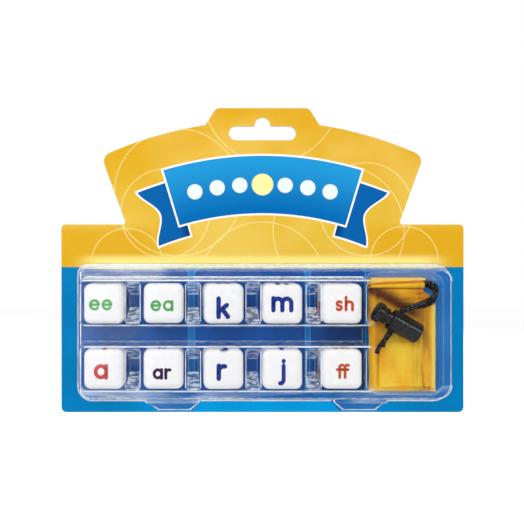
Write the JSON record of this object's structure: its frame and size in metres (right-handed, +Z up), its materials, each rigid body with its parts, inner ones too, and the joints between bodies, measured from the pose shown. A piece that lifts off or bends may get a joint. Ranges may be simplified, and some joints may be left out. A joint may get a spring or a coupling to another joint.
{
  "type": "letter dice word game pack",
  "caption": "Word game of letter dice and a folded drawstring bag in a clear formed blister, trapped in a folded hanging card",
  "frame": {"origin": "top of the hang slot's crown on the card's back face, where a peg carries the pack", "axes": "+Z up, +X to the right as the face is seen, -Y out of the face; the card's back face lies in the plane Y = 0"},
  "size_m": [0.19, 0.0208, 0.1436],
  "materials": {
    "printed_front": "printed, semi-gloss",
    "printed_back": "printed, semi-gloss",
    "clear_film": "clear, glossy",
    "die_plastic": "moulded, glossy",
    "bag_cloth": "thin woven nylon",
    "cord_braid": "braided",
    "lock_plastic": "moulded, satin",
    "spring_steel": "drawn wire"
  },
  "bodies": {
    "pack_front": {"card_front": "printed_front", "blister_shell": "clear_film"},
    "pack_back": {"card_back": "printed_back"},
    "die_ee": {"die_ee": "die_plastic"},
    "die_ea": {"die_ea": "die_plastic"},
    "die_k": {"die_k": "die_plastic"},
    "die_m": {"die_m": "die_plastic"},
    "die_sh": {"die_sh": "die_plastic"},
    "die_a": {"die_a": "die_plastic"},
    "die_ar": {"die_ar": "die_plastic"},
    "die_r": {"die_r": "die_plastic"},
    "die_j": {"die_j": "die_plastic"},
    "die_ff": {"die_ff": "die_plastic"},
    "bag": {"bag_body": "bag_cloth", "bag_hem": "bag_cloth", "drawcord_strand_a": "cord_braid", "drawcord_strand_b": "cord_braid", "cord_lock_barrel": "lock_plastic", "cord_lock_spring": "spring_steel"},
    "lock_plunger": {"cord_lock_plunger": "lock_plastic"}
  },
  "joints": [
    {"name": "card_fold", "type": "hinge", "parent": "pack_front", "child": "pack_back", "pos_m": [0, -0.0007, -0.1394], "axis": [-1, 0, 0], "range_deg": [0, 180]},
    {"name": "die_ee_out", "type": "slide", "parent": "pack_front", "child": "die_ee", "axis": [0, 1, 0], "range_m": [0, 0.022]},
    {"name": "die_ea_out", "type": "slide", "parent": "pack_front", "child": "die_ea", "axis": [0, 1, 0], "range_m": [0, 0.022]},
    {"name": "die_k_out", "type": "slide", "parent": "pack_front", "child": "die_k", "axis": [0, 1, 0], "range_m": [0, 0.022]},
    {"name": "die_m_out", "type": "slide", "parent": "pack_front", "child": "die_m", "axis": [0, 1, 0], "range_m": [0, 0.022]},
    {"name": "die_sh_out", "type": "slide", "parent": "pack_front", "child": "die_sh", "axis": [0, 1, 0], "range_m": [0, 0.022]},
    {"name": "die_a_out", "type": "slide", "parent": "pack_front", "child": "die_a", "axis": [0, 1, 0], "range_m": [0, 0.022]},
    {"name": "die_ar_out", "type": "slide", "parent": "pack_front", "child": "die_ar", "axis": [0, 1, 0], "range_m": [0, 0.022]},
    {"name": "die_r_out", "type": "slide", "parent": "pack_front", "child": "die_r", "axis": [0, 1, 0], "range_m": [0, 0.022]},
    {"name": "die_j_out", "type": "slide", "parent": "pack_front", "child": "die_j", "axis": [0, 1, 0], "range_m": [0, 0.022]},
    {"name": "die_ff_out", "type": "slide", "parent": "pack_front", "child": "die_ff", "axis": [0, 1, 0], "range_m": [0, 0.022]},
    {"name": "bag_out", "type": "slide", "parent": "pack_front", "child": "bag", "axis": [0, 1, 0], "range_m": [0, 0.022]},
    {"name": "lock_press", "type": "slide", "parent": "bag", "child": "lock_plunger", "axis": [0.8738, 0, -0.4863], "range_m": [0, 0.0035], "stiffness_N_per_m": 900, "deforming": ["cord_lock_spring"]}
  ],
  "couplings": [
    {"joint": "die_ee_out", "follows": "card_fold", "m_per_rad": 0.007},
    {"joint": "die_ea_out", "follows": "card_fold", "m_per_rad": 0.007},
    {"joint": "die_k_out", "follows": "card_fold", "m_per_rad": 0.007},
    {"joint": "die_m_out", "follows": "card_fold", "m_per_rad": 0.007},
    {"joint": "die_sh_out", "follows": "card_fold", "m_per_rad": 0.007},
    {"joint": "die_a_out", "follows": "card_fold", "m_per_rad": 0.007},
    {"joint": "die_ar_out", "follows": "card_fold", "m_per_rad": 0.007},
    {"joint": "die_r_out", "follows": "card_fold", "m_per_rad": 0.007},
    {"joint": "die_j_out", "follows": "card_fold", "m_per_rad": 0.007},
    {"joint": "die_ff_out", "follows": "card_fold", "m_per_rad": 0.007},
    {"joint": "bag_out", "follows": "card_fold", "m_per_rad": 0.007}
  ]
}
